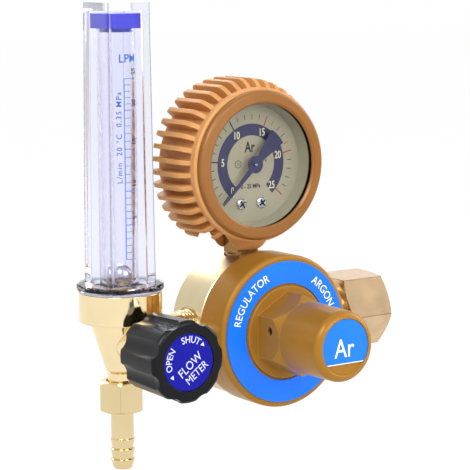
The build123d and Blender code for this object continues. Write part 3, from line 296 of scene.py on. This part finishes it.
# Rubber and plastic
boot_rubber = material("boot rubber", linear(206, 147, 86), 0.5, grain=(700, 0.03), mottle=(55, 0.07),
                       bevel=0.5, Specular_IOR_Level=0.25)
smoke_rubber = material("grey rubber", linear(176, 177, 196), 0.5, grain=(900, 0.02), mottle=(90, 0.1))
black_rubber_and_shade = material("black rubber and shade", linear(20, 20, 22), 0.6, grain=(900, 0.02), mottle=(90, 0.15))
knob_black = material("black moulding", linear(9, 10, 15), 0.24, grain=(450, 0.012), mottle=(90, 0.2),
                      bevel=0.6, Specular_IOR_Level=0.22)
nylon = material("nylon", linear(232, 230, 220), 0.5, grain=(900, 0.01), mottle=(90, 0.05))
blue_plug = material("blue plug", linear(72, 72, 226), 0.3, grain=(500, 0.02), mottle=(80, 0.08),
                     bevel=0.3, Transmission_Weight=0.15)
acrylic = clear("clear acrylic", (0.895, 0.90, 0.985), 1.32)
tube_clear = clear("clear tube", (0.955, 0.955, 0.998), 1.40, Alpha=0.9)
lens_clear = clear("lens", (0.985, 0.99, 0.985), 1.16, rough=0.01)

# Print
navy = ink("navy print", linear(48, 48, 88), rough=0.45, bevel=0.05)
dark_print_and_shade = ink("dark print and shade", linear(22, 23, 38))
red_print = ink("red print", linear(160, 60, 62))
cream_print = ink("cream print", linear(224, 220, 178), mottle=0.04)
white_print = ink("white print", linear(245, 247, 252), rough=0.4, mottle=0.02)
pale_print = ink("pale print", linear(206, 208, 238), rough=0.4, mottle=0.02)
cyan_print = ink("cyan print", linear(52, 140, 222), rough=0.4, mottle=0.04)
blue_print = ink("blue print", linear(44, 110, 200), rough=0.4, mottle=0.05)

# Painted light and shade along corners and edges
# Painted shade: darker lines along the clear cover's corners and its flange's rim.
corner_shade(acrylic, "flow_cover", 11.6, linear(70, 72, 104), 0.9)
# Painted reflections: darker brown lines along the polished brass edges.
edge_lines(brass_polished, 0.35, linear(150, 110, 58), 0.55)
# Painted highlight: paler lines along the boot's fin crests and edges.
edge_lines(boot_rubber, 0.7, linear(236, 180, 120), 0.6)
# Painted highlight: paler lines along the bonnet's edges and hex corners.
edge_lines(ochre, 0.6, linear(206, 160, 92), 0.4)
# Painted shade: darker lines along the bezel's inner and outer edges.
edge_lines(bezel_paint, 0.5, linear(92, 58, 26), 0.65)
# Painted reflections: dark brown lines along the inlet nut's facet edges.
edge_lines(brass_nut, 0.8, linear(110, 76, 46), 0.85)
# Painted reflections: darker lines along the outlet nut's and hose barb's edges.
edge_lines(brass_barb, 0.35, linear(150, 116, 66), 0.6)

LOOKS = {
    "regulator_body": brass_satin, "bonnet": ochre, "ring_label": azure, "cap_label": azure,
    "adjusting_screw": grey_steel, "spring_seat": grey_steel, "main_spring": grey_steel,
    "diaphragm": black_rubber_and_shade, "slip_ring": grey_steel, "diaphragm_plate": brass_satin,
    "plate_nut": brass_satin, "valve_seat": brass_satin, "valve_pin": steel, "valve_spring": steel,
    "inlet_stem": brass_satin, "inlet_filter": bronze, "inlet_gasket": nylon, "inlet_nut": brass_nut,
    "connection_nipple": brass_polished, "flowmeter_body": brass_polished, "flow_cover": acrylic,
    "cover_gasket": smoke_rubber, "flow_tube": tube_clear, "tube_ring": black_rubber_and_shade,
    "tube_plug": blue_plug, "flow_ball": steel, "needle_gland": brass_polished,
    "gland_packing": nylon, "needle": brass_satin, "knob": knob_black, "knob_label": deep_blue,
    "knob_screw": steel, "outlet_nut": brass_barb, "hose_barb": brass_barb, "gauge_washer": copper,
    "gauge_stem": stem_paint, "gauge_case": grey_steel, "bezel": bezel_paint, "lens": lens_clear,
    "lens_gasket": black_rubber_and_shade, "dial_ring": cream, "dial": cream, "dial_screws": steel,
    "stop_pin": steel, "pointer": pointer_paint, "pinion": steel, "sector": brass_satin,
    "link": brass_satin, "movement_frame": brass_satin, "curved_tube": copper,
    "gauge_boot": boot_rubber,
}
for node, look in LOOKS.items():
    mesh = nodes[node].data
    mesh.materials.clear()
    mesh.materials.append(look)


def yielding(node):
    """A copy of an inner piece, with a mesh of its own, that rides on the regulator in place of the
    hidden piece.
    """
    source = nodes[node]
    made = bpy.data.objects.new(node + "_soft", source.data.copy())
    made.matrix_world = source.matrix_world
    scene.collection.objects.link(made)
    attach(made, "regulator")
    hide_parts(node)
    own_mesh(made)


yielding("main_spring")
yielding("diaphragm")

# Print: thin solids laid on the face that carries them
BAR_STEP = 1.0
LETTER_MIDDLE = 0.35


class Print:
    """Collects flat shapes, given in millimetres, and lays them on a face as one thin piece."""

    def __init__(self, lay, thick=0.05):
        self.lay = lay
        self.thick = thick
        self.points = []
        self.faces = []

    def solid(self, outline, turn=0.0, at=(0, 0)):
        """A convex flat shape."""
        start = len(self.points)
        c, s = polar(1, turn)
        for height in (0, self.thick):
            for u, v in outline:
                self.points.append(self.lay(at[0] + u * c - v * s, at[1] + u * s + v * c, height))
        count = len(outline)
        self.faces.append([start + i for i in reversed(range(count))])
        self.faces.append([start + count + i for i in range(count)])
        for i in range(count):
            j = (i + 1) % count
            self.faces.append([start + i, start + j, start + count + j, start + count + i])

    def bar(self, start, end, width):
        """A straight bar between two points, in short steps that follow a round face."""
        along, across = end[0] - start[0], end[1] - start[1]
        length = math.hypot(along, across)
        turn = math.degrees(math.atan2(across, along))
        steps = max(1, int(length / BAR_STEP))
        for i in range(steps):
            a, b = length * i / steps, length * (i + 1) / steps
            self.solid([(a, -width / 2), (b, -width / 2), (b, width / 2), (a, width / 2)], turn, start)

    def arc(self, inner, outer, low, high, step=3, at=(0, 0)):
        """A part of a ring, in degrees."""
        start = len(self.points)
        count = max(2, int(abs(high - low) / step) + 1)
        for i in range(count):
            angle = low + (high - low) * i / (count - 1)
            for radius, height in ((inner, 0), (outer, 0), (outer, self.thick), (inner, self.thick)):
                u, v = polar(radius, angle)
                self.points.append(self.lay(at[0] + u, at[1] + v, height))
        for i in range(count - 1):
            p, q = start + 4 * i, start + 4 * (i + 1)
            for k in range(4):
                m = (k + 1) % 4
                self.faces.append([p + k, p + m, q + m, q + k])
        if abs(high - low) < 359.9:
            last = start + 4 * (count - 1)
            self.faces.append([start + 3, start + 2, start + 1, start])
            self.faces.append([last, last + 1, last + 2, last + 3])

    def word(self, text, size, at=(0, 0), turn=0.0, ring=None, middle=90.0, stretch=1.0, weight=0.0,
             gap=1.0):
        """Letters, straight or along a ring of that baseline radius."""
        curve = bpy.data.curves.new("letters", "FONT")
        curve.body = text
        curve.size = size
        curve.align_x = "CENTER"
        curve.extrude = self.thick / 2
        curve.resolution_u = 3
        curve.offset = weight
        curve.space_character = gap
        holder = bpy.data.objects.new("letters", curve)
        mesh = bpy.data.meshes.new_from_object(holder)
        c, s = polar(1, turn)
        start = len(self.points)
        for vertex in mesh.vertices:
            u, v, w = vertex.co
            u *= stretch
            w += self.thick / 2
            if ring:
                a = math.radians(middle) - u / (ring + size * LETTER_MIDDLE)
                self.points.append(self.lay((ring + v) * math.cos(a), (ring + v) * math.sin(a), w))
            else:
                self.points.append(self.lay(at[0] + u * c - v * s, at[1] + u * s + v * c, w))
        for face in mesh.polygons:
            self.faces.append([start + i for i in face.vertices])
        bpy.data.objects.remove(holder)
        bpy.data.curves.remove(curve)
        bpy.data.meshes.remove(mesh)

    def done(self, name, look, body):
        """Makes the piece, which rides on a body."""
        mesh = bpy.data.meshes.new(name)
        mesh.from_pydata(self.points, [], self.faces)
        mesh.materials.append(look)
        made = bpy.data.objects.new(name, mesh)
        scene.collection.objects.link(made)
        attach(made, body)


def front_face(x, y, z):
    """Lays print on a face that looks to the front."""
    def lay(u, v, height):
        return (x + u * MM, y - height * MM, z + v * MM)
    return lay


def left_face(x, y, z):
    """Lays print on a face that looks to the left."""
    def lay(u, v, height):
        return (x - height * MM, y + u * MM, z + v * MM)
    return lay


def round_face(x, radius):
    """Lays print on the flowmeter's tube, with u along its girth from the front and v its height."""
    def lay(u, v, height):
        a = u / radius
        reach = (radius + height) * MM
        return (x + reach * math.sin(a), -reach * math.cos(a), v * MM)
    return lay


# Dial, its marks turned a little on the dial's plate
DIAL_INK = 0.04
NUMBER_INK = 0.03
BAND = {"inner": 12.7, "outer": 17.9, "low": 232, "high": -50}
MARK_ZERO = 228.5
MARK_SWEEP = 270
MARKS = 25
MARKS_PER_NUMBER = 5
RED_MARKS = (15, 16, 19, 20, 25)
LONG_MARK = (17.6, 22.6, 0.58)
SHORT_MARK = (19.8, 22.2, 0.3)
NUMBER_RADIUS = 15.1
NUMBER_DROP = 1.6
CLASS_RING = {"inner": 1.45, "outer": 1.72, "low": 0, "high": 360, "step": 12, "at": (-6.9, 0.2)}

dial = front_face(GAUGE.x, face_y("dial"), GAUGE.z)
band = Print(dial, DIAL_INK)
band.arc(**BAND)
band.done("dial_band", navy, "regulator")
numbers = Print(front_face(GAUGE.x, face_y("dial") - DIAL_INK * MM, GAUGE.z), NUMBER_INK)
ticks = Print(dial, DIAL_INK)
red = Print(dial, DIAL_INK)
for i in range(MARKS + 1):
    angle = MARK_ZERO - MARK_SWEEP * i / MARKS
    numbered = i % MARKS_PER_NUMBER == 0
    inner, outer, width = LONG_MARK if numbered else SHORT_MARK
    carrier = red if i in RED_MARKS else ticks
    carrier.bar(polar(inner, angle), polar(outer, angle), width)
    if numbered:
        u, v = polar(NUMBER_RADIUS, angle)
        numbers.word(str(i), size=4.7, at=(u, v - NUMBER_DROP), stretch=0.76, weight=0.06)
ticks.done("dial_ticks", dark_print_and_shade, "regulator")
red.done("dial_red_ticks", red_print, "regulator")
numbers.done("dial_numbers", cream_print, "regulator")
words = Print(dial, DIAL_INK)
words.word("Ar", size=6.6, at=(-0.6, 5.4), stretch=0.74, weight=0.16)
words.word("MPa", size=2.6, at=(6.6, 0.6), stretch=0.9)
words.arc(**CLASS_RING)
words.word("2.5", size=1.5, at=(-6.9, -0.3))
words.word("0 - 25 MPa", size=2.7, at=(-0.2, -10.8), stretch=0.9, weight=0.06)
words.done("dial_words", dark_print_and_shade, "regulator")

# Shade at the bottom of the screws' slots and of the weep hole
SHADE = 0.03
SCREW_SIDE = 5.4
SCREW_DROP = 17.6
SLOT_DEPTH = 0.75
SLOT_HALF = 1.85
SLOT_WIDTH = 0.84
SLOT_TURNS = (35, 125)
WEEP_PLACE = (-14.5, -39, 3.4)
WEEP_RADIUS = 1.86
WEEP_STEP = 15

slots = Print(front_face(GAUGE.x, face_y("dial_screws") + SLOT_DEPTH * MM, GAUGE.z), SHADE)
for side in (-SCREW_SIDE, SCREW_SIDE):
    for turn in SLOT_TURNS:
        u, v = polar(SLOT_HALF, turn)
        slots.bar((side - u, -SCREW_DROP - v), (side + u, -SCREW_DROP + v), SLOT_WIDTH)
# Painted shade: dark sheets at the bottom of the screws' slots, in the dark print colour.
slots.done("slot_shade", dark_print_and_shade, "regulator")
weep = Print(left_face(REG_X + WEEP_PLACE[0] * MM, WEEP_PLACE[1] * MM, WEEP_PLACE[2] * MM), SHADE)
weep.solid([polar(WEEP_RADIUS, angle) for angle in range(0, 360, WEEP_STEP)])
# Painted shade: a black disc just inside the weep hole, in the black rubber colour.
weep.done("weep_shade", black_rubber_and_shade, "regulator")

# Ring label, cap label and knob label
RING_BASE = 24.9
CAP_LINE = (9.6, -7.0, 0.35)
KNOB_BASE = 8.2
ARROW = ((1.2, 0), (-0.6, 0.95), (-0.6, -0.95))
ARROW_RADIUS = 9.7

ring = Print(front_face(REG_X, face_y("ring_label"), 0))
ring.word("REGULATOR", size=5.2, ring=RING_BASE, middle=140, stretch=0.92)
ring.word("ARGON", size=5.2, ring=RING_BASE, middle=38, stretch=0.92)
ring.done("ring_words", white_print, "regulator")
cap = Print(front_face(REG_X, face_y("cap_label"), 0))
cap.word("Ar", size=11.6, at=(-0.6, -4.2), stretch=0.85)
half, height, width = CAP_LINE
cap.bar((-half, height), (half, height), width)
cap.done("cap_words", white_print, "regulator")
knob = Print(front_face(METER_X, face_y("knob_label"), KNOB_Z))
knob.word("OPEN", size=4.1, ring=KNOB_BASE, middle=169, stretch=0.95, weight=0.02)
knob.word("SHUT", size=4.1, ring=KNOB_BASE, middle=82, stretch=0.95, weight=0.02)
for angle, quarter in ((215, 90), (44, -90)):
    knob.solid(ARROW, angle + quarter, polar(ARROW_RADIUS, angle))
knob.word("FLOW", size=5.4, at=(1.8, -2.6), turn=38, stretch=0.86)
knob.word("METER", size=4.9, at=(4.9, -6.1), turn=37, stretch=0.84)
knob.done("knob_words", pale_print, "flow_knob")

# Flow scale round the front of the tube
TUBE_RADIUS = 7.7
SCALE_HEIGHTS = (36.0, 50.8, 65.3, 83.2, 99.7, 113.0)
SCALE_PARTS = 5
LINE_SIDE = -1.72
LINE_WIDTH = 0.4
LONG_PART = (3.4, 0.34)
SHORT_PART = (1.2, 0.26)
TOP_WIDTH = 0.3
DIGIT_SIDE = 4.4
DIGIT_RISE = 3.0

tube = round_face(METER_X, TUBE_RADIUS)
scale = Print(tube)
marks = Print(tube)
digits = Print(tube)
scale.bar((LINE_SIDE, SCALE_HEIGHTS[0]), (LINE_SIDE, SCALE_HEIGHTS[-1]), LINE_WIDTH)
for low, high in zip(SCALE_HEIGHTS, SCALE_HEIGHTS[1:]):
    for part in range(SCALE_PARTS):
        height = low + (high - low) * part / SCALE_PARTS
        side, width = SHORT_PART if part else LONG_PART
        scale.bar((LINE_SIDE, height), (side, height), width)
scale.bar((LINE_SIDE, SCALE_HEIGHTS[-1]), (LONG_PART[0], SCALE_HEIGHTS[-1]), TOP_WIDTH)
for i, height in enumerate(SCALE_HEIGHTS[1:], 1):
    digits.word(str(SCALE_PARTS * i), size=3.6, at=(DIGIT_SIDE, height + DIGIT_RISE), turn=90,
                stretch=0.85, weight=0.08)
marks.word("LPM", size=5.0, at=(0.2, 119.8), stretch=0.95, weight=0.06)
marks.word("L/min  20 °C  0.35 MPa", size=3.3, at=(-3.0, 88), turn=90, gap=1.22, weight=0.03)
digits.done("flow_scale_digits", navy, "regulator")
scale.done("flow_scale", cyan_print, "regulator")
marks.done("flow_scale_words", blue_print, "regulator")

# Camera, at the photograph's place: angles in degrees, distances in mm
VIEW_TURN = -34.82
VIEW_RISE = 8.27
VIEW_ROLL = -0.35
VIEW_SIDE = -5.41
VIEW_HEIGHT = 39.23
VIEW_DISTANCE = 854.26
FOCAL_PIXELS = 1884.49
PICTURE_PIXELS = 470
SENSOR = 36
FARTHEST = 20


def camera():
    """The camera, which looks at a point near the regulator."""
    turn, rise, roll = math.radians(VIEW_TURN), math.radians(VIEW_RISE), math.radians(VIEW_ROLL)
    right = Vector((math.cos(turn), math.sin(turn), 0))
    back = Vector((math.sin(turn) * math.cos(rise), -math.cos(turn) * math.cos(rise), math.sin(rise)))
    up = back.cross(right)
    target = Vector((REG_X, 0, 0)) + (right * VIEW_SIDE + up * VIEW_HEIGHT) * MM
    place = target + back * VIEW_DISTANCE * MM
    level = right * math.cos(roll) + up * math.sin(roll)
    upright = up * math.cos(roll) - right * math.sin(roll)
    data = bpy.data.cameras.new("camera")
    data.sensor_width = SENSOR
    data.lens = FOCAL_PIXELS / PICTURE_PIXELS * SENSOR
    data.clip_end = FARTHEST
    made = bpy.data.objects.new("camera", data)
    made.matrix_world = Matrix((
        (level.x, upright.x, back.x, place.x), (level.y, upright.y, back.y, place.y),
        (level.z, upright.z, back.z, place.z), (0, 0, 0, 1)))
    scene.collection.objects.link(made)
    scene.camera = made


camera()

# Lamps: name, place, size in metres and power
LAMP_AIM = (-0.08, 0, 0.04)
LAMPS = (
    ("key", (-0.75, -0.55, 0.75), (0.5, 0.5), 8.5),
    ("front", (0.15, -1.0, 0.35), (0.6, 0.4), 4.5),
    ("right", (0.8, -0.25, 0.35), (0.4, 0.6), 3.8),
    ("rear", (0.1, 0.8, 0.6), (0.6, 0.4), 3.8),
)


def lamp(name, place, size, power):
    """A flat lamp that faces the object."""
    data = bpy.data.lights.new(name, "AREA")
    data.shape = "RECTANGLE"
    data.size, data.size_y = size
    data.energy = power
    made = bpy.data.objects.new(name, data)
    made.location = place
    made.rotation_euler = (Vector(LAMP_AIM) - Vector(place)).to_track_quat("-Z", "Y").to_euler()
    scene.collection.objects.link(made)


for row in LAMPS:
    lamp(*row)

# World and floor
FRONT_RIGHT = (0.755, -0.656)
BEHIND = (0.571, 0.821)
AMBIENT = 0.5
WORLD_LEVEL = 1.0
FLOOR_LEVEL = 1.03
FLOOR_GLOW = 0.93
FLOOR_HALF = 4
FLOOR_GAP = 0.5

# Each is a range and what it is taken to
NEAR_HORIZON = (0.2, 0.6, 1.0, 0.0)
LEVEL_ENOUGH = (0.3, 0.6, 0.0, 1.0)
DARK_PATCH = (0.88, 0.98, 0.0, 0.62)
BRIGHT_PATCH = (0.7, 0.95, 0.0, 0.12)


def mirrored(tree, place):
    """The brightness that metal mirrors in each direction: darker to the front right near the
    horizon, a little brighter behind the object."""
    work = partial(calculated, tree)
    smooth = partial(mapped, tree, kind="SMOOTHSTEP")
    parts = tree.nodes.new("ShaderNodeSeparateXYZ")
    tree.links.new(place, parts.inputs[0])
    x, y, z = parts.outputs
    flat = work("SQRT", work("ADD", work("MULTIPLY", x, x), work("MULTIPLY", y, y)))

    def agreement(direction):
        """How well a ray's level part agrees with a direction, 1 at most."""
        both = work("ADD", work("MULTIPLY", x, direction[0]), work("MULTIPLY", y, direction[1]))
        return work("DIVIDE", both, work("MAXIMUM", flat, 0.001))

    low = work("MULTIPLY", smooth(z, *NEAR_HORIZON), smooth(flat, *LEVEL_ENOUGH))
    dark = work("MULTIPLY", smooth(agreement(FRONT_RIGHT), *DARK_PATCH), low)
    bright = work("MULTIPLY", smooth(agreement(BEHIND), *BRIGHT_PATCH), low)
    return work("SUBTRACT", work("ADD", 1.0, bright), dark)


def backdrop(tree, place, plain):
    """Which rays see the white backdrop, and how bright it is: plain in the picture and through
    clear pieces, and as mirrored() says in metal."""
    path = tree.nodes.new("ShaderNodeLightPath")
    level = tree.nodes.new("ShaderNodeMix")
    level.inputs["A"].default_value = plain
    tree.links.new(path.outputs["Is Glossy Ray"], level.inputs["Factor"])
    tree.links.new(mirrored(tree, place), level.inputs["B"])
    seen = calculated(tree, "MAXIMUM", path.outputs["Is Camera Ray"], path.outputs["Is Transmission Ray"])
    return calculated(tree, "MAXIMUM", seen, path.outputs["Is Glossy Ray"]), level.outputs["Result"]


def blended(tree, share, first, second, output):
    """Mixes two shaders into the tree's output."""
    mix = tree.nodes.new("ShaderNodeMixShader")
    for socket, value in zip(mix.inputs, (share, first, second)):
        tree.links.new(value, socket)
    tree.links.new(mix.outputs[0], tree.nodes[output].inputs[0])


def studio():
    """A dim even world, white to the camera."""
    world = bpy.data.worlds.new("studio")
    scene.world = world
    world.use_nodes = True
    tree = world.node_tree
    ambient = tree.nodes["Background"]
    ambient.inputs["Color"].default_value = WHITE
    ambient.inputs["Strength"].default_value = AMBIENT
    white = tree.nodes.new("ShaderNodeBackground")
    white.inputs["Color"].default_value = WHITE
    place = tree.nodes.new("ShaderNodeTexCoord").outputs["Generated"]
    seen, level = backdrop(tree, place, WORLD_LEVEL)
    tree.links.new(level, white.inputs["Strength"])
    blended(tree, seen, ambient.outputs[0], white.outputs[0], "World Output")


def floor():
    """A pale floor under the object, which keeps a little of its shadow."""
    z = cad_box[0][2] - FLOOR_GAP * MM
    corners = [(-FLOOR_HALF, -FLOOR_HALF, z), (FLOOR_HALF, -FLOOR_HALF, z),
               (FLOOR_HALF, FLOOR_HALF, z), (-FLOOR_HALF, FLOOR_HALF, z)]
    mesh = bpy.data.meshes.new("floor")
    mesh.from_pydata(corners, [], [(0, 1, 2, 3)])
    look = bpy.data.materials.new("floor")
    look.use_nodes = True
    tree = look.node_tree
    shader = tree.nodes["Principled BSDF"]
    shader.inputs["Base Color"].default_value = (0.9, 0.9, 0.9, 1)
    shader.inputs["Roughness"].default_value = 0.9
    glow = tree.nodes.new("ShaderNodeEmission")
    place = tree.nodes.new("ShaderNodeTexCoord").outputs["Object"]
    seen, level = backdrop(tree, place, FLOOR_LEVEL)
    tree.links.new(level, glow.inputs["Strength"])
    share = calculated(tree, "MULTIPLY", seen, FLOOR_GLOW)
    blended(tree, share, shader.outputs[0], glow.outputs[0], "Material Output")
    mesh.materials.append(look)
    made = bpy.data.objects.new("floor", mesh)
    scene.collection.objects.link(made)


studio()
floor()

scene.view_settings.view_transform = "Standard"

# Light goes round many times inside the clear walls
scene.cycles.max_bounces = 96
scene.cycles.transmission_bounces = 96
scene.cycles.transparent_max_bounces = 64
scene.cycles.glossy_bounces = 96
